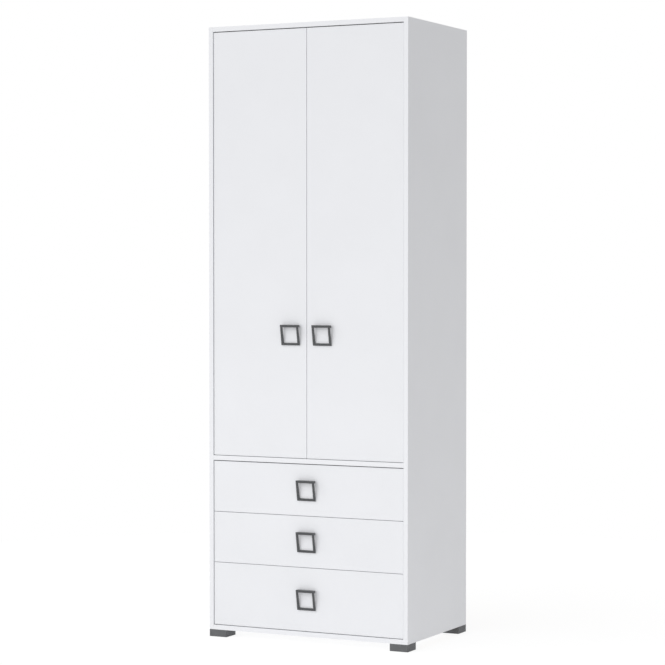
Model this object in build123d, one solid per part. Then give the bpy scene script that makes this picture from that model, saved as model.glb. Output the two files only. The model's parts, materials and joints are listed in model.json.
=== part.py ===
from build123d import *
import math
import os

# A tall narrow wardrobe: two inset doors above a middle shelf, three inset drawers below it, flat block feet.
# Millimetres. +Z is up, the doors face -Y, and "left" is the left hand of someone who faces the doors.
# The origin lies on the floor, under the middle of the whole object, handles included.

# Carcass
width = 740.0
height = 2060.0
depth = 480.0
board = 16.0
foot_height = 24.0
foot_side = 65.0
foot_corner_radius = 1.5

# Doors and drawer fronts, set in between the boards
front_thickness = 16.0
front_gap = 1.5
head_gap = 2.8
bottom_gap = 2.0
front_recess = 2.5
top_front_height = 170.5
middle_front_height = 170.5
bottom_front_height = 211.0

# Thin two-part back panel in grooves, with a joiner strip behind the middle shelf
back_thickness = 3.0
back_inset = 10.0
back_groove_depth = 7.0
joiner_flange = 1.2
joiner_web = 1.6
joiner_grip = 7.0

# Hat shelf and clothes rail
hat_shelf_drop = 300.0
hat_shelf_front_setback = 30.0
shelf_end_gap = 1.0
pin_radius = 2.5
pin_depth = 8.0
pin_reach = 8.0
pin_setback = 60.0
pin_row_pitch = 32.0
pin_row_steps = (-1, 0, 1)
rail_drop = 60.0
rail_tall = 30.0
rail_thick = 15.0
rail_wall = 1.2
socket_plate = 3.0
socket_wall = 2.0
socket_reach = 14.0
socket_screw_offset = 26.0
socket_tab = 9.0

# Cam locks, cam bolts and dowels at the ends of the three cross boards
cam_radius = 7.5
cam_depth = 12.5
cam_inset = 24.0
cam_setback = 90.0
cam_slot_width = 2.0
cam_slot_depth = 2.5
bolt_radius = 3.0
bolt_neck_radius = 2.0
bolt_neck_length = 4.0
bolt_head_length = 3.5
bolt_depth = 11.0
dowel_radius = 4.0
dowel_length = 30.0
dowel_depth = 11.0
dowel_setback = 130.0

# Screws, with a cross-shaped driver recess in every head
recess_reach = 2.2
recess_width = 1.0
recess_depth = 1.0
euro_radius = 3.0
euro_depth = 11.0
euro_head_radius = 4.5
euro_head_height = 1.6
foot_screw_radius = 2.0
foot_screw_head_radius = 4.0
foot_screw_head_height = 2.6
foot_screw_sink = 5.0
foot_screw_bite = 12.0
foot_screw_spacing = 32.0
handle_screw_radius = 2.0
handle_screw_head_radius = 4.0
handle_screw_head_height = 2.4
handle_screw_bite = 10.0
box_screw_radius = 2.5
box_screw_head_radius = 3.5
box_screw_head_height = 4.0
box_screw_length = 38.0
box_screw_inset = 30.0
rail_screw_radius = 1.75
rail_screw_head_radius = 3.0
rail_screw_head_height = 1.2
rail_screw_bite = 9.0

# Square ring handle: deep top bar and shallow bottom bar against the door, slanting side bars between them,
# and flanks that draw in towards the door
handle_size = 68.0
handle_bar = 8.0
handle_top_reach = 16.0
handle_bottom_reach = 4.0
handle_side_bar_depth = 4.0
handle_draft = 3.0
handle_screw_spacing = 32.0
door_handle_inset = 58.0
door_handle_rise = 409.0
drawer_handle_drop = 1.5

# Concealed hinge with one pin inside its cup
hinge_end_inset = 100.0
hinge_edge_inset = 20.0
hinge_axis_depth = 7.0
hinge_pin_radius = 1.5
hinge_pin_length = 24.0
hinge_eye_radius = 2.6
cup_radius = 17.5
cup_depth = 13.0
cup_edge_margin = 3.5
cup_wall = 1.0
cup_flange = 1.2
cup_flange_overlap = 1.5
cup_stud_radius = 4.0
cup_stud_length = 11.0
cup_stud_spacing = 45.0
cup_stud_offset = 9.5
cup_stud_head_radius = 3.5
cup_stud_head_height = 0.8
cup_tab = 6.5
arm_thickness = 2.6
arm_width = 10.0
arm_base_width = 16.0
arm_side_clearance = 0.6
neck_angle = 40.0
neck_clearance = 1.4
plate_thickness = 3.0
plate_length = 46.0
plate_height = 44.0
plate_screw_spacing = 32.0
hinge_screw_radius = 2.0
hinge_screw_head_radius = 3.2
hinge_screw_head_height = 1.5
hinge_screw_inset = 9.0

# Drawer boxes
box_board = 12.0
box_lift = 15.0
box_headroom = 30.0
box_housing = 5.0
drawer_rear_clearance = 28.0
box_bottom_thickness = 3.0
box_bottom_rise = 10.0
box_bottom_groove = 5.0

# Roller runners: the cabinet rail carries the front roller, the drawer rail carries the rear one
runner_gap = 12.5
rail_steel = 1.2
rail_side_clearance = 1.0
rail_end_gap = 3.0
rail_box_seat = 4.0
rail_ledge = 9.0
rail_hold_down_gap = 0.4
roller_radius = 8.8
roller_width = 6.0
roller_clearance = 0.35
roller_axle_radius = 3.0
roller_axle_head_radius = 4.0
roller_axle_head = 0.9
roller_play = 0.3
roller_axle_setback = 14.0
roller_hub_gap = 0.8
rail_screw_margin = 60.0

# Clearances
fit_clearance = 0.1
running_clearance = 0.06
groove_clearance = 0.2
hole_end_clearance = 0.5

# Levels and planes that follow from the sizes
inner_half = width / 2 - board
handle_overhang = handle_top_reach - front_recess
carcass_front = handle_overhang - (depth + handle_overhang) / 2
carcass_back = carcass_front + depth
fronts_y = carcass_front + front_recess
fronts_back = fronts_y + front_thickness
back_panel_rear = carcass_back - back_inset
back_panel_front = back_panel_rear - back_thickness

bottom_panel_z = foot_height
top_panel_z = height - board
bottom_front_z = bottom_panel_z + board + bottom_gap
middle_front_z = bottom_front_z + bottom_front_height + front_gap
top_front_z = middle_front_z + middle_front_height + front_gap
middle_shelf_z = top_front_z + top_front_height + head_gap
door_z = middle_shelf_z + board + front_gap
door_top = top_panel_z - head_gap
door_width = inner_half - front_gap - front_gap / 2
hat_shelf_z = top_panel_z - hat_shelf_drop
clothes_rail_z = hat_shelf_z - rail_drop
clothes_rail_y = (fronts_back + back_panel_front) / 2
middle_shelf_back = back_panel_front - joiner_flange - groove_clearance

cam_places = (carcass_front + cam_setback, carcass_back - cam_setback)
dowel_places = (carcass_front + dowel_setback, carcass_back - dowel_setback)
cross_board_levels = (bottom_panel_z, middle_shelf_z, top_panel_z)
pin_places = (
    fronts_back + hat_shelf_front_setback + pin_setback,
    back_panel_front - pin_setback,
)

hinge_levels = (door_z + hinge_end_inset, (door_z + door_top) / 2, door_top - hinge_end_inset)
hinge_x = -inner_half + front_gap + hinge_edge_inset
hinge_y = fronts_y + hinge_axis_depth
hinge_wall = -front_gap - hinge_edge_inset
door_back = front_thickness - hinge_axis_depth
cup_centre = cup_edge_margin + cup_radius - hinge_edge_inset
door_rim_swing = math.hypot(hinge_edge_inset, max(hinge_axis_depth, door_back))
neck_inner = door_rim_swing + neck_clearance
neck_outer = neck_inner + arm_thickness
plate_end = neck_outer + plate_length
plate_screw_y = neck_outer + plate_length / 2
hinge_screw_places = (neck_outer + hinge_screw_inset, plate_end - hinge_screw_inset)

box_half = inner_half - runner_gap
box_back = back_panel_front - drawer_rear_clearance
rail_front = fronts_back + rail_end_gap
rail_back = box_back - rail_end_gap
roller_z = rail_steel + roller_clearance + roller_radius
track_bottom = roller_z + roller_radius + roller_clearance
track_top = track_bottom + rail_steel
channel_height = track_top + rail_hold_down_gap + rail_steel
front_axle_y = rail_front + roller_axle_setback
rear_axle_y = rail_back - roller_axle_setback
rail_screw_places = (
    rail_front + rail_screw_margin,
    (rail_front + rail_back) / 2,
    rail_back - rail_screw_margin,
)

drawer_fronts = {
    "top": (top_front_z, top_front_height),
    "middle": (middle_front_z, middle_front_height),
    "bottom": (bottom_front_z, bottom_front_height),
}

from_base = (Align.CENTER, Align.CENTER, Align.MIN)


# Small helpers
def block(x_ends, y_ends, z_ends):
    """Box between two ends along each axis, given in any order."""
    ends = [sorted(pair) for pair in (x_ends, y_ends, z_ends)]
    centre = [(low + high) / 2 for low, high in ends]
    sizes = [high - low for low, high in ends]
    return Pos(*centre) * Box(*sizes)


def rod(start, direction, length, radius):
    """Cylinder from a point along a direction."""
    return Plane(origin=start, z_dir=direction) * Cylinder(radius, length, align=from_base)


def driver_recess(start, direction):
    """Cross-shaped cut from the middle of a screw head's face, along a direction into the screw."""
    long_way = Box(2 * recess_reach, recess_width, recess_depth, align=from_base)
    short_way = Box(recess_width, 2 * recess_reach, recess_depth, align=from_base)
    return Plane(origin=start, z_dir=direction) * (long_way + short_way)


def both_sides(pieces):
    """The pieces of the left side with their mirror images on the right."""
    return pieces + [mirror(piece, about=Plane.YZ) for piece in pieces]


def save(name, pieces):
    """Write one node, a single solid or a group of separate solids."""
    solids = [solid for piece in pieces for solid in piece.solids()]
    shape = solids[0] if len(solids) == 1 else Compound(solids)
    export_step(shape, f"parts/{name}.step")


def box_level(front_z):
    """Underside of a drawer box whose front starts at this height."""
    return front_z + box_lift


def rail_level(front_z):
    """Underside of the cabinet rails of that drawer."""
    return box_level(front_z) - rail_box_seat


# Fasteners shared by the boards
def euro_screw_places():
    """Where screws enter the side panels: y, z and the thickness of what they hold."""
    places = []
    for front_z, _ in drawer_fronts.values():
        for y in rail_screw_places:
            places.append((y, rail_level(front_z) + roller_z, rail_steel))
    for level in hinge_levels:
        for offset in (-plate_screw_spacing / 2, plate_screw_spacing / 2):
            places.append((hinge_y + plate_screw_y, level + offset, plate_thickness))
    for offset in (-socket_screw_offset, socket_screw_offset):
        places.append((clothes_rail_y, clothes_rail_z + offset, socket_plate))
    return places


def euro_screw(y, z, grip):
    """Screw in the left side panel that holds a piece of the given thickness."""
    shank = rod((-inner_half - euro_depth, y, z), (1, 0, 0), euro_depth + grip, euro_radius)
    head = rod((-inner_half + grip, y, z), (1, 0, 0), euro_head_height, euro_head_radius)
    recess = driver_recess((-inner_half + grip + euro_head_height, y, z), (-1, 0, 0))
    return shank + head - recess


def euro_hole(y, z, grip):
    """Hole for that screw through the held piece and into the left side panel."""
    length = euro_depth + hole_end_clearance + grip
    start = (-inner_half - euro_depth - hole_end_clearance, y, z)
    return rod(start, (1, 0, 0), length, euro_radius + fit_clearance)


def cam_bolt(y, z):
    """Bolt from the left side panel into a cross board, with a necked head that the cam grips."""
    start = -inner_half - bolt_depth
    neck_start = -inner_half + cam_inset - bolt_neck_length
    head_start = -inner_half + cam_inset
    shaft = rod((start, y, z), (1, 0, 0), neck_start - start, bolt_radius)
    neck = rod((neck_start, y, z), (1, 0, 0), bolt_neck_length, bolt_neck_radius)
    head = rod((head_start, y, z), (1, 0, 0), bolt_head_length, bolt_radius)
    return shaft + neck + head


def bolt_hole(y, z):
    """Straight bore for a cam bolt, open from the side panel to the far end of its head."""
    length = bolt_depth + cam_inset + bolt_head_length + 2 * hole_end_clearance
    start = (-inner_half - bolt_depth - hole_end_clearance, y, z)
    return rod(start, (1, 0, 0), length, bolt_radius + fit_clearance)


def cam_bore(y, board_z, opens_up):
    """Blind bore for a cam lock in the left end of a cross board."""
    face = board_z + board if opens_up else board_z
    direction = (0, 0, -1) if opens_up else (0, 0, 1)
    return rod((-inner_half + cam_inset, y, face), direction, cam_depth, cam_radius)


def cam_lock(y, board_z, opens_up):
    """Cam that fills its bore, with a bore for the bolt and a driver slot in its face."""
    face = board_z + board if opens_up else board_z
    inward = -1 if opens_up else 1
    centre_x = -inner_half + cam_inset
    body = rod((centre_x, y, face), (0, 0, inward), cam_depth, cam_radius - fit_clearance)
    slot = block(
        (centre_x - cam_radius, centre_x + cam_radius),
        (y - cam_slot_width / 2, y + cam_slot_width / 2),
        (face, face + inward * cam_slot_depth),
    )
    return body - slot - bolt_hole(y, board_z + board / 2)


def dowel(y, z):
    """Dowel from the left side panel into a cross board."""
    return rod((-inner_half - dowel_depth, y, z), (1, 0, 0), dowel_length, dowel_radius)


def dowel_hole(y, z):
    start = (-inner_half - dowel_depth - hole_end_clearance, y, z)
    return rod(start, (1, 0, 0), dowel_length + 2 * hole_end_clearance, dowel_radius + fit_clearance)


# Carcass boards
def back_groove():
    """Groove for the back panel, as one slab that cuts all four outer boards."""
    half = inner_half + back_groove_depth
    return block(
        (-half, half),
        (back_panel_front - groove_clearance, back_panel_rear + groove_clearance),
        (bottom_panel_z + board - back_groove_depth, top_panel_z + back_groove_depth),
    )


def left_side_panel():
    panel = block((-width / 2, -inner_half), (carcass_front, carcass_back), (foot_height, height))
    cuts = [back_groove()]
    for board_z in cross_board_levels:
        cuts += [bolt_hole(y, board_z + board / 2) for y in cam_places]
        cuts += [dowel_hole(y, board_z + board / 2) for y in dowel_places]
    cuts += [euro_hole(*place) for place in euro_screw_places()]
    for y in pin_places:
        for step in pin_row_steps:
            z = hat_shelf_z - pin_radius + step * pin_row_pitch
            start = (-inner_half - pin_depth - hole_end_clearance, y, z)
            length = pin_depth + hole_end_clearance
            cuts.append(rod(start, (1, 0, 0), length, pin_radius + fit_clearance))
    return panel - cuts


def cross_board(board_z, rear, opens_up):
    """Board between the side panels, drilled for the cams, bolts and dowels at both ends."""
    panel = block((-inner_half, inner_half), (carcass_front, rear), (board_z, board_z + board))
    cuts = [cam_bore(y, board_z, opens_up) for y in cam_places]
    cuts += [bolt_hole(y, board_z + board / 2) for y in cam_places]
    cuts += [dowel_hole(y, board_z + board / 2) for y in dowel_places]
    return panel - both_sides(cuts)


def hat_shelf():
    half = inner_half - shelf_end_gap
    front = fronts_back + hat_shelf_front_setback
    return block((-half, half), (front, back_panel_front - shelf_end_gap), (hat_shelf_z, hat_shelf_z + board))


def shelf_pin(y):
    """Pin in the left side panel, under the hat shelf."""
    start = (-inner_half - pin_depth, y, hat_shelf_z - pin_radius)
    return rod(start, (1, 0, 0), pin_depth + pin_reach, pin_radius)


def back_panels():
    """Lower and upper half, which meet in the joiner behind the middle shelf."""
    half = inner_half + back_groove_depth - groove_clearance
    middle = middle_shelf_z + board / 2
    low = bottom_panel_z + board - back_groove_depth + groove_clearance
    high = top_panel_z + back_groove_depth - groove_clearance
    y_ends = (back_panel_front, back_panel_rear)
    lower = block((-half, half), y_ends, (low, middle - joiner_web / 2 - groove_clearance))
    upper = block((-half, half), y_ends, (middle + joiner_web / 2 + groove_clearance, high))
    return lower, upper


def back_joiner():
    """H-shaped strip that holds the two back panels edge to edge."""
    half = inner_half - shelf_end_gap
    middle = middle_shelf_z + board / 2
    front = back_panel_front - groove_clearance
    rear = back_panel_rear + groove_clearance
    z_ends = (middle - joiner_grip, middle + joiner_grip)
    web = block((-half, half), (front, rear), (middle - joiner_web / 2, middle + joiner_web / 2))
    inside = block((-half, half), (front - joiner_flange, front), z_ends)
    outside = block((-half, half), (rear, rear + joiner_flange), z_ends)
    return inside + web + outside


# Clothes rail
def oval(tall, thick, length, start_x):
    """Bar of oval section along X, on the clothes rail's axis."""
    section = Plane.YZ * SlotOverall(tall, thick, rotation=90)
    return Pos(start_x, clothes_rail_y, clothes_rail_z) * extrude(section, amount=length)


def clothes_rail():
    start = -inner_half + socket_plate
    length = -2 * start
    outer = oval(rail_tall, rail_thick, length, start)
    inner = oval(rail_tall - 2 * rail_wall, rail_thick - 2 * rail_wall, length, start)
    return outer - inner


def rail_socket():
    """End socket on the left side panel: a plate with a collar around the rail's end."""
    tall = rail_tall + 2 * (socket_wall + fit_clearance)
    thick = rail_thick + 2 * (socket_wall + fit_clearance)
    plate_tall = 2 * (socket_screw_offset + socket_tab)
    plate = oval(plate_tall, thick, socket_plate, -inner_half)
    collar = oval(tall, thick, socket_plate + socket_reach, -inner_half)
    hole = oval(
        rail_tall + 2 * fit_clearance,
        rail_thick + 2 * fit_clearance,
        socket_reach,
        -inner_half + socket_plate,
    )
    screw_holes = [
        euro_hole(clothes_rail_y, clothes_rail_z + offset, socket_plate)
        for offset in (-socket_screw_offset, socket_screw_offset)
    ]
    return plate + collar - hole - screw_holes


# Feet
def foot_screw_points(front_edge):
    """Middle of the strip of a left foot that lies under the bottom panel."""
    x = -width / 2 + (board + foot_side) / 2
    middle = front_edge + foot_side / 2
    return [(x, middle + offset) for offset in (-foot_screw_spacing / 2, foot_screw_spacing / 2)]


def foot_screw(x, y):
    head_z = foot_screw_sink - foot_screw_head_height
    head = rod((x, y, head_z), (0, 0, 1), foot_screw_head_height, foot_screw_head_radius)
    length = foot_height - foot_screw_sink + foot_screw_bite
    shank = rod((x, y, foot_screw_sink), (0, 0, 1), length, foot_screw_radius)
    return head + shank - driver_recess((x, y, head_z), (0, 0, 1))


def foot_screw_cut(x, y):
    sink = rod((x, y, 0), (0, 0, 1), foot_screw_sink, foot_screw_head_radius + fit_clearance)
    length = foot_height - foot_screw_sink + foot_screw_bite + hole_end_clearance
    hole = rod((x, y, foot_screw_sink), (0, 0, 1), length, foot_screw_radius + fit_clearance)
    return sink + hole


def left_foot(front_edge):
    foot = block((-width / 2, foot_side - width / 2), (front_edge, front_edge + foot_side), (0, foot_height))
    foot = fillet(foot.edges().filter_by(Axis.Z), foot_corner_radius)
    return foot - [foot_screw_cut(*point) for point in foot_screw_points(front_edge)]


# Handles, made with the middle of the ring on the front's face at the origin
def handle_front(z):
    """How far the slanting front of the ring stands out at this height."""
    share = z / handle_size + 0.5
    return handle_bottom_reach + share * (handle_top_reach - handle_bottom_reach)


def handle_slice(low, high, back_low, back_high):
    """Part of the ring between two heights, from the slanting front back to the given line."""
    outline = Polyline(
        (-handle_front(low), low),
        (-handle_front(high), high),
        (-back_high, high),
        (-back_low, low),
        close=True,
    )
    section = Plane.YZ * make_face(outline)
    return extrude(section, amount=handle_size / 2, both=True)


def handle_screw_points():
    """Screws enter the top bar: x and z from the middle of the ring."""
    z = handle_size / 2 - handle_bar / 2
    return [(offset, z) for offset in (-handle_screw_spacing / 2, handle_screw_spacing / 2)]


def handle_flanks():
    """Slanting block between the ring's two flanks, which draw in from its front towards the door."""
    half = handle_size / 2
    front = -handle_front(0)
    back_half = half - handle_draft
    outline = Polyline(
        (-half, front),
        (half, front),
        (back_half, front + handle_top_reach),
        (-back_half, front + handle_top_reach),
        close=True,
    )
    slope = (handle_top_reach - handle_bottom_reach) / handle_size
    return extrude(make_face(outline), amount=handle_size, dir=(0, -slope, 1), both=True)


def handle():
    half = handle_size / 2
    inside = half - handle_bar
    bar_depth = handle_side_bar_depth
    top_bar = handle_slice(inside, half, 0, 0)
    bottom_bar = handle_slice(-half, -inside, 0, 0)
    sides = handle_slice(-half, half, handle_front(-half) - bar_depth, handle_front(half) - bar_depth)
    room = block((-half, half), (-2 * handle_top_reach, 0), (-half, half))
    window = block((-inside, inside), (-2 * handle_top_reach, handle_top_reach), (-inside, inside))
    ring = (top_bar + bottom_bar + (sides & room) - window) & handle_flanks()
    hole_depth = handle_screw_bite + hole_end_clearance
    hole_radius = handle_screw_radius + fit_clearance
    return ring - [rod((x, 0, z), (0, -1, 0), hole_depth, hole_radius) for x, z in handle_screw_points()]


def handle_screws():
    """Screws through the front, heads on its inner face."""
    screws = []
    for x, z in handle_screw_points():
        length = front_thickness + handle_screw_bite
        shank = rod((x, front_thickness, z), (0, -1, 0), length, handle_screw_radius)
        head = rod((x, front_thickness, z), (0, 1, 0), handle_screw_head_height, handle_screw_head_radius)
        recess = driver_recess((x, front_thickness + handle_screw_head_height, z), (0, -1, 0))
        screws.append(shank + head - recess)
    return screws


def handle_screw_holes():
    return [
        rod((x, 0, z), (0, 1, 0), front_thickness, handle_screw_radius + fit_clearance)
        for x, z in handle_screw_points()
    ]


# Hinges, made with the pin of a left hinge at the origin, +X towards the middle of the door
def hinge_arm():
    """Goose-neck arm: an eye on the pin, a bend clear of the door's swinging rim, a base on the plate."""
    half = arm_width / 2
    thick = arm_thickness / 2
    base_x = hinge_wall + plate_thickness
    eye = Cylinder(hinge_eye_radius, arm_width)
    bar = Rot(0, 0, neck_angle) * block((0, neck_outer), (-thick, thick), (-half, half))
    outer_arc = CenterArc((0, 0), neck_outer, neck_angle, 90 - neck_angle)
    inner_arc = CenterArc((0, 0), neck_inner, neck_angle, 90 - neck_angle)
    start = Line(outer_arc @ 0, inner_arc @ 0)
    end = Line(outer_arc @ 1, inner_arc @ 1)
    bend = extrude(make_face([outer_arc, end, inner_arc, start]), amount=half, both=True)
    bridge = block((base_x, 0), (neck_inner, neck_outer), (-half, half))
    base = block(
        (base_x, base_x + arm_thickness),
        (neck_inner, plate_end),
        (-arm_base_width / 2, arm_base_width / 2),
    )
    bore = Cylinder(hinge_pin_radius + running_clearance, 2 * arm_width)
    return eye + bar + bend + bridge + base - bore - hinge_screw_holes()


def hinge_screws():
    """Fixing and adjusting screw, through the arm's base into the plate."""
    seat = hinge_wall + plate_thickness + arm_thickness
    screws = []
    for y in hinge_screw_places:
        shank = rod((seat, y, 0), (-1, 0, 0), arm_thickness + plate_thickness, hinge_screw_radius)
        head = rod((seat, y, 0), (1, 0, 0), hinge_screw_head_height, hinge_screw_head_radius)
        screws.append(shank + head - driver_recess((seat + hinge_screw_head_height, y, 0), (-1, 0, 0)))
    return screws


def hinge_screw_holes():
    length = plate_thickness + arm_thickness
    radius = hinge_screw_radius + fit_clearance
    return [rod((hinge_wall, y, 0), (1, 0, 0), length, radius) for y in hinge_screw_places]


def hinge_plate():
    plate = block(
        (hinge_wall, hinge_wall + plate_thickness),
        (neck_outer, plate_end),
        (-plate_height / 2, plate_height / 2),
    )
    holes = [
        rod((hinge_wall, plate_screw_y, offset), (1, 0, 0), plate_thickness, euro_radius + fit_clearance)
        for offset in (-plate_screw_spacing / 2, plate_screw_spacing / 2)
    ]
    return plate - holes - hinge_screw_holes()


def cup_stud_points(y):
    """The two fixing points of a cup's flange, at a given depth."""
    x = cup_centre + cup_stud_offset
    return [(x, y, offset) for offset in (-cup_stud_spacing / 2, cup_stud_spacing / 2)]


def cup_studs():
    """Press studs from the cup's flange into the door, with a driver head on the flange."""
    top = door_back + cup_flange
    head_top = top + cup_stud_head_height
    stems = [
        rod(point, (0, -1, 0), cup_stud_length, cup_stud_radius - fit_clearance)
        for point in cup_stud_points(door_back)
    ]
    heads = [
        rod(point, (0, 1, 0), cup_stud_head_height, cup_stud_head_radius)
        for point in cup_stud_points(top)
    ]
    recesses = [driver_recess(point, (0, -1, 0)) for point in cup_stud_points(head_top)]
    return stems, heads, recesses


def cup_bore():
    return rod((cup_centre, door_back, 0), (0, -1, 0), cup_depth, cup_radius)


def hinge_cup():
    """Cup in the door with a flange on the door's back face and a pocket that the arm swings in."""
    stud_x = cup_centre + cup_stud_offset
    tab_half = cup_stud_spacing / 2 + cup_tab
    stems, heads, recesses = cup_studs()
    body = rod((cup_centre, door_back, 0), (0, -1, 0), cup_depth, cup_radius - fit_clearance)
    rim = rod((cup_centre, door_back, 0), (0, 1, 0), cup_flange, cup_radius + cup_flange_overlap)
    flange_y = (door_back, door_back + cup_flange)
    tab = block((stud_x - cup_tab, stud_x + cup_tab), flange_y, (-tab_half, tab_half))
    pocket_half = arm_width / 2 + arm_side_clearance
    floor = door_back - cup_depth + cup_wall
    pocket_round = rod((cup_centre, floor, 0), (0, 1, 0), cup_depth + cup_flange, cup_radius - cup_wall)
    pocket = pocket_round & block(
        (cup_centre - cup_radius, cup_centre + cup_radius),
        (floor, floor + cup_depth + cup_flange),
        (-pocket_half, pocket_half),
    )
    bore = Cylinder(hinge_pin_radius + running_clearance, hinge_pin_length + 2 * hole_end_clearance)
    return body + rim + tab + stems + heads - recesses - pocket - bore


def hinge_pin():
    return Cylinder(hinge_pin_radius, hinge_pin_length)


def at_hinges(piece):
    """One copy of a hinge piece at each hinge of the left door."""
    return [Pos(hinge_x, hinge_y, level) * piece for level in hinge_levels]


# Doors
def door_handle_place():
    """Middle of the left door's handle, near the edge that meets the other door."""
    return Pos(-front_gap / 2 - door_handle_inset, fronts_y, door_z + door_handle_rise)


def left_door_panel():
    outer_edge = front_gap - inner_half
    panel = block((outer_edge, outer_edge + door_width), (fronts_y, fronts_back), (door_z, door_top))
    cuts = at_hinges(cup_bore())
    for point in cup_stud_points(door_back):
        stud_hole = rod(point, (0, -1, 0), cup_stud_length + hole_end_clearance, cup_stud_radius)
        cuts += at_hinges(stud_hole)
    cuts += [door_handle_place() * hole for hole in handle_screw_holes()]
    return panel - cuts


def save_doors():
    pieces = {
        "door_panel": [left_door_panel()],
        "hinge_cups": at_hinges(hinge_cup()),
        "hinge_pins": at_hinges(hinge_pin()),
        "door_handle": [door_handle_place() * handle()],
        "handle_screws": [door_handle_place() * screw for screw in handle_screws()],
    }
    for name, left_pieces in pieces.items():
        save(f"left_{name}", left_pieces)
        save(f"right_{name}", [mirror(piece, about=Plane.YZ) for piece in left_pieces])


# Runners, made with x = 0 on the inner face of the left side panel and z = 0 at the cabinet rail's underside
def roller_axle(base_x, y, direction):
    """Rivet on a rail that carries a roller, with a head that keeps the roller on."""
    length = roller_hub_gap + roller_width + roller_play
    stem = rod((base_x, y, roller_z), (direction, 0, 0), length, roller_axle_radius)
    tip = (base_x + direction * length, y, roller_z)
    head = rod(tip, (direction, 0, 0), roller_axle_head, roller_axle_head_radius)
    return stem + head


def roller(base_x, y, direction):
    start = (base_x + direction * roller_hub_gap, y, roller_z)
    wheel = rod(start, (direction, 0, 0), roller_width, roller_radius)
    return wheel - rod(start, (direction, 0, 0), roller_width, roller_axle_radius + running_clearance)


def cabinet_rail():
    """Channel on the side panel, open towards the drawer, with the front roller's axle."""
    reach = runner_gap - rail_steel - rail_side_clearance
    y_ends = (rail_front, rail_back)
    web = block((0, rail_steel), y_ends, (0, channel_height))
    floor = block((0, reach), y_ends, (0, rail_steel))
    roof = block((0, reach), y_ends, (channel_height - rail_steel, channel_height))
    holes = [
        rod((0, y, roller_z), (1, 0, 0), rail_steel, euro_radius + fit_clearance)
        for y in rail_screw_places
    ]
    return web + floor + roof - holes + roller_axle(rail_steel, front_axle_y, 1)


def drawer_rail():
    """Rail under and beside the drawer's side, with the rear roller's axle and a track above the rollers."""
    web_x = runner_gap - rail_steel
    y_ends = (rail_front, rail_back)
    web = block((web_x, runner_gap), y_ends, (rail_box_seat - rail_steel, track_top))
    track = block((rail_steel + rail_side_clearance, runner_gap), y_ends, (track_bottom, track_top))
    ledge = block((web_x, runner_gap + rail_ledge), y_ends, (rail_box_seat - rail_steel, rail_box_seat))
    holes = [
        rod((web_x, y, roller_z), (1, 0, 0), rail_steel, rail_screw_radius + fit_clearance)
        for y in rail_screw_places
    ]
    return web + track + ledge - holes + roller_axle(web_x, rear_axle_y, -1)


def drawer_rail_screws():
    """Screws through the drawer rail into the side of the box."""
    web_x = runner_gap - rail_steel
    screws = []
    for y in rail_screw_places:
        shank = rod((web_x, y, roller_z), (1, 0, 0), rail_steel + rail_screw_bite, rail_screw_radius)
        head = rod((web_x, y, roller_z), (-1, 0, 0), rail_screw_head_height, rail_screw_head_radius)
        recess = driver_recess((web_x - rail_screw_head_height, y, roller_z), (1, 0, 0))
        screws.append(shank + head - recess)
    return screws


def drawer_rail_screw_holes():
    """Holes for those screws in the side of the box."""
    length = rail_screw_bite + hole_end_clearance
    radius = rail_screw_radius + fit_clearance
    return [rod((runner_gap, y, roller_z), (1, 0, 0), length, radius) for y in rail_screw_places]


# Drawers
def box_screw_levels(box_z, box_top):
    return (box_z + box_screw_inset, box_top - box_screw_inset)


def box_screw(z):
    """Screw through the left side of a box into the end of its back."""
    y = box_back - box_board / 2
    head = rod((-box_half, y, z), (1, 0, 0), box_screw_head_height, box_screw_head_radius)
    shank = rod((-box_half, y, z), (1, 0, 0), box_screw_length, box_screw_radius)
    return head + shank - driver_recess((-box_half, y, z), (1, 0, 0))


def box_screw_hole(z):
    y = box_back - box_board / 2
    sink = rod((-box_half, y, z), (1, 0, 0), box_screw_head_height, box_screw_head_radius + fit_clearance)
    length = box_screw_length + hole_end_clearance
    hole = rod((-box_half, y, z), (1, 0, 0), length, box_screw_radius + fit_clearance)
    return sink + hole


def drawer_bottom(box_z, extra=0.0):
    """Thin bottom held in grooves, or with extra the grooves themselves."""
    half = box_half - box_board + box_bottom_groove - groove_clearance + extra
    front = fronts_back - box_bottom_groove + groove_clearance - extra
    low = box_z + box_bottom_rise
    return block((-half, half), (front, box_back), (low - extra, low + box_bottom_thickness + extra))


def left_drawer_side(box_z, box_top, extra=0.0):
    """Board whose front end is housed in the drawer front, or with extra the housing itself."""
    return block(
        (-box_half - extra, -box_half + box_board + extra),
        (fronts_back - box_housing - extra, box_back),
        (box_z - extra, box_top + extra),
    )


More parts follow.
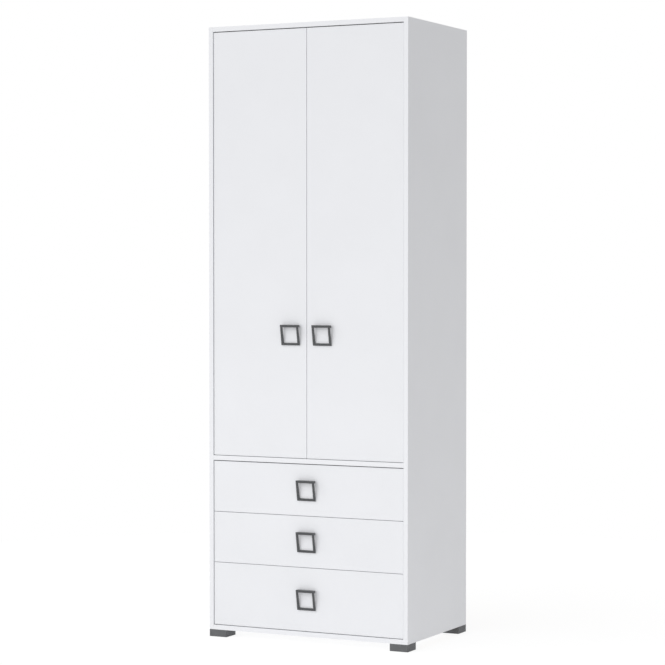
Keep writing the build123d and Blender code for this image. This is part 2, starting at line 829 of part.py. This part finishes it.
def save_drawer(name, front_z, front_height):
    half = inner_half - front_gap
    box_z = box_level(front_z)
    box_top = front_z + front_height - box_headroom
    rail_place = Pos(-inner_half, 0, rail_level(front_z))
    handle_place = Pos(0, fronts_y, front_z + front_height / 2 - drawer_handle_drop)
    grooves = drawer_bottom(box_z, groove_clearance)
    screw_holes = [box_screw_hole(z) for z in box_screw_levels(box_z, box_top)]

    front = block((-half, half), (fronts_y, fronts_back), (front_z, front_z + front_height))
    front -= [grooves] + both_sides([left_drawer_side(box_z, box_top, fit_clearance)])
    front -= [handle_place * hole for hole in handle_screw_holes()]

    rail_holes = [rail_place * hole for hole in drawer_rail_screw_holes()]
    side = left_drawer_side(box_z, box_top) - [grooves] - screw_holes - rail_holes

    back_half = box_half - box_board
    back_low = box_z + box_bottom_rise + box_bottom_thickness
    back = block((-back_half, back_half), (box_back - box_board, box_back), (back_low, box_top))
    back -= both_sides(screw_holes)

    side_screws = [box_screw(z) for z in box_screw_levels(box_z, box_top)]
    side_screws += [rail_place * screw for screw in drawer_rail_screws()]
    front_screws = [handle_place * screw for screw in handle_screws()]
    front_roller = rail_place * roller(rail_steel, front_axle_y, 1)
    rear_roller = rail_place * roller(runner_gap - rail_steel, rear_axle_y, -1)

    save(f"{name}_drawer_front", [front])
    save(f"{name}_drawer_sides", both_sides([side]))
    save(f"{name}_drawer_back", [back])
    save(f"{name}_drawer_bottom", [drawer_bottom(box_z)])
    save(f"{name}_drawer_handle", [handle_place * handle()])
    save(f"{name}_drawer_screws", both_sides(side_screws) + front_screws)
    save(f"{name}_drawer_rails", both_sides([rail_place * drawer_rail()]))
    save(f"{name}_cabinet_rails", both_sides([rail_place * cabinet_rail()]))
    save(f"{name}_front_rollers", both_sides([front_roller]))
    save(f"{name}_rear_rollers", both_sides([rear_roller]))


# Carcass nodes
def save_carcass():
    side = left_side_panel()
    lower_back, upper_back = back_panels()
    groove = back_groove()
    feet_fronts = (carcass_front, carcass_back - foot_side)
    foot_points = [point for edge in feet_fronts for point in foot_screw_points(edge)]
    foot_cuts = both_sides([foot_screw_cut(*point) for point in foot_points])
    joints = [(y, level + board / 2) for level in cross_board_levels for y in cam_places]
    dowels = [(y, level + board / 2) for level in cross_board_levels for y in dowel_places]
    cams = [cam_lock(y, level, level == top_panel_z) for level in cross_board_levels for y in cam_places]

    save("left_side_panel", [side])
    save("right_side_panel", [mirror(side, about=Plane.YZ)])
    save("top_panel", [cross_board(top_panel_z, carcass_back, True) - groove])
    save("bottom_panel", [cross_board(bottom_panel_z, carcass_back, False) - groove - foot_cuts])
    save("middle_shelf", [cross_board(middle_shelf_z, middle_shelf_back, False)])
    save("hat_shelf", [hat_shelf()])
    save("lower_back_panel", [lower_back])
    save("upper_back_panel", [upper_back])
    save("back_panel_joiner", [back_joiner()])
    save("shelf_pins", both_sides([shelf_pin(y) for y in pin_places]))
    save("clothes_rail", [clothes_rail()])
    save("clothes_rail_sockets", both_sides([rail_socket()]))
    save("feet", both_sides([left_foot(edge) for edge in feet_fronts]))
    save("cam_locks", both_sides(cams))
    save("cam_bolts", both_sides([cam_bolt(*joint) for joint in joints]))
    save("wooden_dowels", both_sides([dowel(*place) for place in dowels]))
    save("hinge_arms", both_sides(at_hinges(hinge_arm())))
    save("hinge_plates", both_sides(at_hinges(hinge_plate())))
    screws = [foot_screw(*point) for point in foot_points]
    screws += [euro_screw(*place) for place in euro_screw_places()]
    for screw in hinge_screws():
        screws += at_hinges(screw)
    save("carcass_screws", both_sides(screws))


os.makedirs("parts", exist_ok=True)
save_carcass()
save_doors()
for drawer_name, (drawer_z, drawer_height) in drawer_fronts.items():
    save_drawer(drawer_name, drawer_z, drawer_height)
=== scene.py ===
import json
import math

import bmesh
import bpy
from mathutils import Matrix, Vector


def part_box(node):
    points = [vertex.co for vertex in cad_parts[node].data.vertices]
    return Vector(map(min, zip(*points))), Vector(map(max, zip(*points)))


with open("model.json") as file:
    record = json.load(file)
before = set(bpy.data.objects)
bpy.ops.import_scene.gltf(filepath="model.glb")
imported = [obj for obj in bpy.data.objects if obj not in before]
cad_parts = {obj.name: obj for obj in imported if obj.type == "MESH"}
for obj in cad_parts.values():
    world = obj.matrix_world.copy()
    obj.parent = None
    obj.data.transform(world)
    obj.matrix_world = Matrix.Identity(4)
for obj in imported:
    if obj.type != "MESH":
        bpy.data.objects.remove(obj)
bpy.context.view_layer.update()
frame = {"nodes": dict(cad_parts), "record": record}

# A tall white wardrobe, two doors over three drawers, dressed for a studio picture.
# Metres and radians. +Z is up and the doors face -Y.
cad_nodes = frame["nodes"]
record = frame["record"]
slot_of = {part["node"]: part["material_slot"] for part in record["subparts"]}
colour_of = {row["slot"]: tuple(row["base_color"]) for row in record["materials"]}

MM = 0.001

# Camera for a square picture
CAMERA_PLACE = (3.410, -6.849, 1.2408)
CAMERA_TURN = 0.4643
CAMERA_TILT = -0.02757
CAMERA_LENS_MM = 121.75
SENSOR_MM = 36.0
SIGHT_LIMIT = 100.0

# Light
WHITE = (1, 1, 1, 1)
SUN_FROM = (-0.62, -0.70, 0.42)
SUN_STRENGTH = 1.42
SUN_ANGLE = math.radians(80)
ROOM_LIGHT = 0.595

# Floor, with its own glow and the share of light that it sends back: first for the rays that light the
# object, then for the rays that show the floor
FLOOR_RADIUS = 3.0
FLOOR_CORNERS = 96
LIGHTING_GLOW = 0.45
LIGHTING_BOUNCE = 0.55
SHOWN_GLOW = 0.86
SHOWN_BOUNCE = 0.2

# Width of the softened edges of each finish, and the finishes with holes, where short edges stay sharp
SHARP_ANGLE = math.radians(40)
EDGE_WIDTH = {
    "white_laminate": 0.5 * MM,
    "white_hardboard": 0.2 * MM,
    "drawer_board": 0.5 * MM,
    "handle_grey": 0.6 * MM,
    "nickel": 0.3 * MM,
    "zinc": 0.15 * MM,
    "white_steel": 0.25 * MM,
    "chrome": 0.2 * MM,
    "white_plastic": 0.25 * MM,
    "roller_nylon": 0.6 * MM,
    "beech": 0.8 * MM,
}
EDGE_STEPS = 3
LONG_EDGE = 3.6 * MM
LONG_EDGE_FINISHES = ("white_laminate", "white_hardboard", "drawer_board", "handle_grey", "white_steel")

# Points this close together become one point, faces this nearly level become one face, and large faces set
# the shading of their corners with this weight
SAME_POINT = 0.001 * MM
SAME_FACE_ANGLE = math.radians(0.5)
LARGE_FACE_WEIGHT = 100

# Sides of a board as axis and direction, and the sawn sides that have no edge band
REAR = (1, 1)
UNDERSIDE = (2, -1)
RAW_SIDES = {
    "left_side_panel": (REAR, UNDERSIDE),
    "right_side_panel": (REAR, UNDERSIDE),
    "top_panel": (REAR,),
    "bottom_panel": (REAR,),
    "middle_shelf": (REAR,),
    "hat_shelf": (REAR,),
}

# Nodes that hold two boards, mirrored left and right
board_pairs = [node for node in cad_nodes if node.endswith("_drawer_sides")]

# Edge bands of the boards, and how deep their coat reaches
BAND_WIDTH = 0.8 * MM
SEAM_WIDTH = 0.12 * MM
SURFACE_DEPTH = 0.6 * MM

# Bare particle board and bare hardboard. Their relief is in times the coated face's, and a face counts as
# turned to a raw side where that part of its direction is above the limit.
CHIP_SIZE = 3.5 * MM
CHIP_DARK = (0.40, 0.27, 0.15, 1)
CHIP_PALE = (0.66, 0.50, 0.31, 1)
CHIP_GLUE = (0.56, 0.43, 0.28, 1)
CHIP_RELIEF = 12.0
CHIP_FACING = 0.7
FIBRE_DARK = (0.20, 0.115, 0.058, 1)
FIBRE_PALE = (0.36, 0.23, 0.128, 1)
FIBRE_CLOUD = (0.30, 0.20, 0.12, 1)
FIBRE_RELIEF = 4.0
FIBRE_FACING = 0.5

# Most of a noise pattern lies between these values
PATTERN_LOW = 0.3
PATTERN_HIGH = 0.7


def shade(colour, factor):
    """A colour from the record at another brightness, with the opacity that a colour socket takes."""
    return (*(factor * part for part in colour), 1)


class NodeSheet:
    """A node tree, with short ways to add and join its nodes."""

    def __init__(self, tree):
        self.tree = tree

    def put(self, value, socket):
        """Link a socket to another node's output, or set it to a plain value."""
        if isinstance(value, bpy.types.NodeSocket):
            self.tree.links.new(value, socket)
        else:
            socket.default_value = value

    def add(self, kind, *values, **settings):
        """Add a node, make its settings, and give its first inputs their values."""
        node = self.tree.nodes.new(kind)
        for key, value in settings.items():
            setattr(node, key, value)
        for value, socket in zip(values, node.inputs):
            self.put(value, socket)
        return node

    def math(self, operation, *values):
        """Result of a calculation with outputs of other nodes and plain numbers."""
        return self.add("ShaderNodeMath", *values, operation=operation).outputs[0]


class Finish(NodeSheet):
    """A procedural material."""

    def __init__(self, name):
        self.material = bpy.data.materials.new(name)
        self.material.use_nodes = True
        super().__init__(self.material.node_tree)
        self.shader = self.tree.nodes["Principled BSDF"]
        coordinates = self.add("ShaderNodeTexCoord").outputs
        self.place = coordinates["Object"]
        self.facing = coordinates["Normal"]

    def set(self, name, value):
        """Give one of the surface's own values."""
        self.put(value, self.shader.inputs[name])

    def axes(self, vector):
        """The three parts of a vector."""
        return list(self.add("ShaderNodeSeparateXYZ", vector).outputs)

    def faces(self, side, limit):
        """One where the surface is turned to a side, else nought."""
        axis, direction = side
        turned = self.math("MULTIPLY", self.axes(self.facing)[axis], direction)
        return self.math("GREATER_THAN", turned, limit)

    def noise(self, size, detail=3.0, stretch=(1, 1, 1)):
        """Cloudy pattern whose patches are about this wide, or longer where the stretch is below one."""
        place = self.add("ShaderNodeVectorMath", self.place, stretch, operation="MULTIPLY").outputs[0]
        node = self.add("ShaderNodeTexNoise")
        self.put(place, node.inputs["Vector"])
        self.put(1 / size, node.inputs["Scale"])
        self.put(detail, node.inputs["Detail"])
        return node.outputs["Fac"]

    def cells(self, size):
        """Flakes of about this width, each with its own random value."""
        node = self.add("ShaderNodeTexVoronoi")
        self.put(self.place, node.inputs["Vector"])
        self.put(1 / size, node.inputs["Scale"])
        return self.axes(node.outputs["Color"])[0]

    def spread(self, pattern, low, high):
        """The middle part of a pattern, spread between two values."""
        node = self.add("ShaderNodeMapRange", pattern, PATTERN_LOW, PATTERN_HIGH, low, high)
        return node.outputs["Result"]

    def mix(self, share, first, second):
        """Two colours, mixed by a pattern."""
        node = self.add("ShaderNodeMix", share, data_type="RGBA")
        # The node has sockets for several kinds of value, of which the colour ones are in use
        first_socket, second_socket = (socket for socket in node.inputs if socket.type == "RGBA")
        self.put(first, first_socket)
        self.put(second, second_socket)
        return next(socket for socket in node.outputs if socket.type == "RGBA")

    def varied(self, pattern, colour, darkest, palest):
        """A colour that a pattern takes from one brightness to another."""
        return self.mix(self.spread(pattern, 0, 1), shade(colour, darkest), shade(colour, palest))

    def relief(self, height, depth):
        """Raised pattern of the given depth."""
        node = self.add("ShaderNodeBump")
        self.put(height, node.inputs["Height"])
        self.put(depth, node.inputs["Distance"])
        self.set("Normal", node.outputs["Normal"])


# Boards
def board_box(node):
    """Low and high corner of a board, or of the right one of a pair."""
    low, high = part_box(node)
    if node in board_pairs:
        low.x = min(abs(vertex.co.x) for vertex in cad_nodes[node].data.vertices)
    return low, high


def box_planes(low, high):
    """The six faces of a box as axis, direction and place."""
    lows = [(axis, -1, low[axis]) for axis in range(3)]
    highs = [(axis, 1, high[axis]) for axis in range(3)]
    return lows + highs


def face_distance(finish, planes, paired):
    """How far a point lies from the nearest of some faces of a box."""
    parts = finish.axes(finish.place)
    if paired:
        parts[0] = finish.math("ABSOLUTE", parts[0])
    nearest = None
    for axis, direction, place in planes:
        gap = finish.math("MULTIPLY_ADD", parts[axis], -direction, direction * place)
        nearest = gap if nearest is None else finish.math("MINIMUM", nearest, gap)
    return nearest


def melamine(finish, white, pearl, from_edge):
    """Colour of a coated face, faintly clouded and speckled, and of its edge bands behind a thin seam."""
    clouds = finish.noise(220 * MM, detail=2)
    face = finish.varied(clouds, white, 0.985, 1.01)
    face = finish.mix(finish.spread(pearl, 0, 0.35), face, shade(white, 0.965))
    on_band = finish.math("LESS_THAN", from_edge, BAND_WIDTH)
    on_seam = finish.math("COMPARE", from_edge, BAND_WIDTH, SEAM_WIDTH / 2)
    banded = finish.mix(on_band, face, shade(white, 1.012))
    return finish.mix(on_seam, banded, shade(white, 0.8))


def particle_board(finish, chips):
    """Colour of a sawn edge: pressed chips in a paler glue."""
    dust = finish.noise(1.2 * MM, detail=4)
    pressed = finish.mix(chips, CHIP_DARK, CHIP_PALE)
    return finish.mix(finish.spread(dust, 0, 0.6), pressed, CHIP_GLUE)


def board_finish(node):
    """White melamine on particle board with edge bands, and bare board on raw sides and in drilled holes."""
    finish = Finish(node)
    low, high = board_box(node)
    sizes = high - low
    thin = min(range(3), key=lambda axis: sizes[axis])
    planes = box_planes(low, high)
    raw_sides = RAW_SIDES.get(node, ())
    banded = [plane for plane in planes if plane[0] != thin and plane[:2] not in raw_sides]
    paired = node in board_pairs

    bare = finish.math("GREATER_THAN", face_distance(finish, planes, paired), SURFACE_DEPTH)
    for side in raw_sides:
        bare = finish.math("MAXIMUM", bare, finish.faces(side, CHIP_FACING))
    pearl = finish.noise(0.9 * MM, detail=2)
    chips = finish.cells(CHIP_SIZE)
    coat = melamine(finish, colour_of[slot_of[node]], pearl, face_distance(finish, banded, paired))
    finish.set("Base Color", finish.mix(bare, coat, particle_board(finish, chips)))

    smooth = finish.spread(finish.noise(6 * MM), 0.40, 0.50)
    finish.set("Roughness", finish.math("MULTIPLY_ADD", bare, 0.45, smooth))
    finish.set("Specular IOR Level", 0.4)
    bare_chips = finish.math("MULTIPLY", bare, chips)
    finish.relief(finish.math("MULTIPLY_ADD", bare_chips, CHIP_RELIEF, pearl), 0.012 * MM)
    return finish.material


def hardboard_finish(node):
    """Thin hardboard, lacquered white on one face and bare brown fibre on the other."""
    finish = Finish(node)
    raw_side = REAR if node.endswith("back_panel") else UNDERSIDE
    bare = finish.faces(raw_side, FIBRE_FACING)
    fibres = finish.noise(1.6 * MM, detail=5, stretch=(1, 1, 0.35))
    clouds = finish.noise(90 * MM, detail=3)
    brown = finish.mix(finish.spread(fibres, 0, 1), FIBRE_DARK, FIBRE_PALE)
    brown = finish.mix(finish.spread(clouds, 0, 0.3), brown, FIBRE_CLOUD)
    lacquer = finish.varied(clouds, colour_of[slot_of[node]], 0.97, 1.01)
    finish.set("Base Color", finish.mix(bare, lacquer, brown))

    smooth = finish.spread(finish.noise(5 * MM), 0.34, 0.46)
    finish.set("Roughness", finish.math("MULTIPLY_ADD", bare, 0.35, smooth))
    bare_fibres = finish.math("MULTIPLY", bare, fibres)
    finish.relief(finish.math("MULTIPLY_ADD", bare_fibres, FIBRE_RELIEF, fibres), 0.02 * MM)
    return finish.material


# Metals, plastics and wood
def handle_finish(slot):
    """Satin anthracite lacquer on cast metal: fine grain, a little paler where it is thick."""
    finish = Finish(slot)
    grey = colour_of[slot]
    grain = finish.noise(0.5 * MM, detail=3)
    clouds = finish.noise(14 * MM, detail=2)
    colour = finish.varied(clouds, grey, 0.9, 1.12)
    finish.set("Base Color", finish.mix(finish.spread(grain, 0, 0.4), colour, shade(grey, 1.4)))
    finish.set("Roughness", finish.spread(grain, 0.22, 0.30))
    finish.relief(grain, 0.006 * MM)
    return finish.material


def foot_finish(slot):
    """Matt moulded plastic with an eroded texture."""
    finish = Finish(slot)
    grey = colour_of[slot]
    grain = finish.noise(0.8 * MM, detail=4)
    clouds = finish.noise(20 * MM, detail=2)
    colour = finish.varied(clouds, grey, 0.92, 1.08)
    finish.set("Base Color", finish.mix(finish.spread(grain, 0, 0.35), colour, shade(grey, 1.3)))
    finish.set("Roughness", finish.spread(grain, 0.55, 0.72))
    finish.relief(grain, 0.05 * MM)
    return finish.material


def plated_finish(slot, roughness, mottle_size, stretch=(1, 1, 1)):
    """Plated metal, mottled or drawn along one axis."""
    finish = Finish(slot)
    mottle = finish.noise(mottle_size, detail=4, stretch=stretch)
    finish.set("Base Color", finish.varied(mottle, colour_of[slot], 0.95, 1.05))
    finish.set("Metallic", 1.0)
    finish.set("Roughness", finish.spread(mottle, 0.88 * roughness, 1.15 * roughness))
    finish.relief(mottle, 0.006 * MM)
    return finish.material


def painted_steel_finish(slot):
    """White powder coat with a slight orange peel."""
    finish = Finish(slot)
    peel = finish.noise(1.4 * MM, detail=2)
    clouds = finish.noise(60 * MM, detail=2)
    finish.set("Base Color", finish.varied(clouds, colour_of[slot], 0.96, 1.02))
    finish.set("Roughness", finish.spread(peel, 0.28, 0.4))
    finish.relief(peel, 0.03 * MM)
    return finish.material


def plastic_finish(slot, translucence=0.0):
    """Moulded plastic, which may let a little light through."""
    finish = Finish(slot)
    grain = finish.noise(1.1 * MM, detail=3)
    flow = finish.noise(12 * MM, detail=2, stretch=(1, 1, 0.4))
    finish.set("Base Color", finish.varied(flow, colour_of[slot], 0.96, 1.02))
    finish.set("Roughness", finish.spread(grain, 0.36, 0.5))
    finish.set("Subsurface Weight", translucence)
    finish.set("Subsurface Scale", 1.0 * MM)
    finish.relief(grain, 0.02 * MM)
    return finish.material


def beech_finish(slot):
    """Dowel wood with grain along its length."""
    finish = Finish(slot)
    grain = finish.noise(0.8 * MM, detail=5, stretch=(0.06, 1, 1))
    finish.set("Base Color", finish.varied(grain, colour_of[slot], 0.78, 1.12))
    finish.set("Roughness", finish.spread(grain, 0.55, 0.7))
    finish.relief(grain, 0.05 * MM)
    return finish.material


def dress_nodes():
    """Give every CAD node its material: one for each board, to its size, and one for each other slot."""
    shared = {
        "handle_grey": handle_finish("handle_grey"),
        "foot_grey": foot_finish("foot_grey"),
        "nickel": plated_finish("nickel", 0.26, 4 * MM, (1, 1, 0.2)),
        "zinc": plated_finish("zinc", 0.36, 1.5 * MM),
        "chrome": plated_finish("chrome", 0.1, 3 * MM, (0.02, 1, 1)),
        "white_steel": painted_steel_finish("white_steel"),
        "white_plastic": plastic_finish("white_plastic"),
        "roller_nylon": plastic_finish("roller_nylon", 0.15),
        "beech": beech_finish("beech"),
    }
    for node, piece in cad_nodes.items():
        slot = slot_of[node]
        if slot in ("white_laminate", "drawer_board"):
            material = board_finish(node)
        elif slot == "white_hardboard":
            material = hardboard_finish(node)
        else:
            material = shared[slot]
        piece.data.materials.clear()
        piece.data.materials.append(material)


# Edges
class MeshGroup(NodeSheet):
    """A geometry node group that changes a mesh step by step."""

    def __init__(self, name):
        super().__init__(bpy.data.node_groups.new(name, "GeometryNodeTree"))
        for way in ("INPUT", "OUTPUT"):
            self.tree.interface.new_socket("Geometry", in_out=way, socket_type="NodeSocketGeometry")
        self.mesh = self.add("NodeGroupInput").outputs[0]

    def sharp_edges(self, angle):
        """One on sharp edges: on all of them by the unsigned angle, on outer ones by the signed angle."""
        bend = self.add("GeometryNodeInputMeshEdgeAngle").outputs[angle]
        return self.math("GREATER_THAN", bend, SHARP_ANGLE)

    def step(self, node):
        """Send the mesh through a node."""
        self.put(self.mesh, node.inputs["Geometry"])
        self.mesh = node.outputs["Geometry"]

    def finish(self):
        """Send the mesh out of the group."""
        self.add("NodeGroupOutput", self.mesh)
        return self.tree


def long_edge_weights():
    """Marks the long outer edges for rounding and passes over short ones, such as the rims of holes."""
    group = MeshGroup("long_edge_weights")
    ends = group.add("GeometryNodeInputMeshEdgeVertices").outputs
    span = group.add("ShaderNodeVectorMath", ends["Position 1"], ends["Position 2"], operation="DISTANCE")
    is_long = group.math("GREATER_THAN", span.outputs["Value"], LONG_EDGE)
    weight = group.math("MULTIPLY", group.sharp_edges("Signed Angle"), is_long)
    store = group.add("GeometryNodeStoreNamedAttribute", domain="EDGE", data_type="FLOAT")
    group.put("bevel_weight_edge", store.inputs["Name"])
    group.put(weight, store.inputs["Value"])
    group.step(store)
    return group.finish()


def smooth_shading():
    """Shades a mesh smooth between its sharp edges."""
    group = MeshGroup("smooth_shading")
    group.step(group.add("GeometryNodeSetShadeSmooth"))
    split = group.add("GeometryNodeSetShadeSmooth", domain="EDGE")
    group.put(group.sharp_edges("Unsigned Angle"), split.inputs["Selection"])
    group.put(False, split.inputs["Shade Smooth"])
    group.step(split)
    return group.finish()


def round_edges(node, weights, smooth):
    """Soften the sharp edges of a CAD node inside its own box, and keep its flat faces flat in the light."""
    piece = cad_nodes[node]
    slot = slot_of[node]
    weld = piece.modifiers.new("weld", "WELD")
    weld.merge_threshold = SAME_POINT
    flat = piece.modifiers.new("flat", "DECIMATE")
    flat.decimate_type = "DISSOLVE"
    flat.angle_limit = SAME_FACE_ANGLE
    if slot in LONG_EDGE_FINISHES:
        piece.modifiers.new("weights", "NODES").node_group = weights
    if slot in EDGE_WIDTH:
        bevel = piece.modifiers.new("round", "BEVEL")
        bevel.width = EDGE_WIDTH[slot]
        bevel.segments = EDGE_STEPS
        bevel.limit_method = "WEIGHT" if slot in LONG_EDGE_FINISHES else "ANGLE"
        bevel.angle_limit = SHARP_ANGLE
        bevel.use_clamp_overlap = False
    piece.modifiers.new("smooth", "NODES").node_group = smooth
    even = piece.modifiers.new("even", "WEIGHTED_NORMAL")
    even.weight = LARGE_FACE_WEIGHT
    even.keep_sharp = True


# Stage
def rays_that_show(sheet):
    """One for rays that show the background: straight to the camera, or by way of gloss or glass."""
    ray = sheet.add("ShaderNodeLightPath").outputs
    seen = sheet.math("MAXIMUM", ray["Is Camera Ray"], ray["Is Glossy Ray"])
    return sheet.math("MAXIMUM", seen, ray["Is Transmission Ray"])


def light_and_show(sheet, lighting, shown, output):
    """Use one shader for rays that light the object and another for rays that show the background."""
    either = sheet.add("ShaderNodeMixShader", rays_that_show(sheet), lighting, shown)
    sheet.put(either.outputs[0], sheet.tree.nodes[output].inputs["Surface"])


def add_world():
    """Even light from all round, which shows as plain white."""
    world = bpy.data.worlds.new("studio")
    world.use_nodes = True
    sheet = NodeSheet(world.node_tree)
    room = sheet.tree.nodes["Background"]
    sheet.put(WHITE, room.inputs["Color"])
    sheet.put(ROOM_LIGHT, room.inputs["Strength"])
    white = sheet.add("ShaderNodeBackground", WHITE)
    light_and_show(sheet, room.outputs[0], white.outputs[0], "World Output")
    bpy.context.scene.world = world


def lit_surface(sheet, glow, bounce):
    """Output of a surface that shines a little itself and sends back a share of the light on it."""
    shine = sheet.add("ShaderNodeEmission", WHITE, glow)
    matt = sheet.add("ShaderNodeBsdfDiffuse", (bounce, bounce, bounce, 1))
    return sheet.add("ShaderNodeAddShader", shine.outputs[0], matt.outputs[0]).outputs[0]


def floor_material():
    """Lit white floor that keeps a faint shadow where it is seen."""
    material = bpy.data.materials.new("floor")
    material.use_nodes = True
    sheet = NodeSheet(material.node_tree)
    sheet.tree.nodes.remove(sheet.tree.nodes["Principled BSDF"])
    lighting = lit_surface(sheet, LIGHTING_GLOW, LIGHTING_BOUNCE)
    shown = lit_surface(sheet, SHOWN_GLOW, SHOWN_BOUNCE)
    light_and_show(sheet, lighting, shown, "Material Output")
    return material


def add_object(name, data):
    """A new object in the scene."""
    thing = bpy.data.objects.new(name, data)
    bpy.context.scene.collection.objects.link(thing)
    return thing


def add_floor():
    """Round floor under the feet, at height nought."""
    mesh = bpy.data.meshes.new("floor")
    shape = bmesh.new()
    bmesh.ops.create_circle(shape, cap_ends=True, radius=FLOOR_RADIUS, segments=FLOOR_CORNERS)
    shape.to_mesh(mesh)
    shape.free()
    mesh.materials.append(floor_material())
    floor = add_object("floor", mesh)


def add_sun():
    """Wide soft light from the front left."""
    sun = bpy.data.lights.new("sun", "SUN")
    sun.energy = SUN_STRENGTH
    sun.angle = SUN_ANGLE
    lamp = add_object("sun", sun)
    lamp.rotation_euler = Vector(SUN_FROM).to_track_quat("Z", "Y").to_euler()


def add_camera():
    """Camera to the right of the front, level with the doors."""
    lens = bpy.data.cameras.new("camera")
    lens.lens = CAMERA_LENS_MM
    lens.sensor_width = SENSOR_MM
    lens.clip_end = SIGHT_LIMIT
    camera = add_object("camera", lens)
    camera.location = CAMERA_PLACE
    camera.rotation_euler = (math.pi / 2 + CAMERA_TILT, 0, CAMERA_TURN)
    bpy.context.scene.camera = camera


dress_nodes()
weights = long_edge_weights()
smooth = smooth_shading()
for node in cad_nodes:
    round_edges(node, weights, smooth)
add_world()
add_floor()
add_sun()
add_camera()
bpy.context.scene.view_settings.view_transform = "Standard"
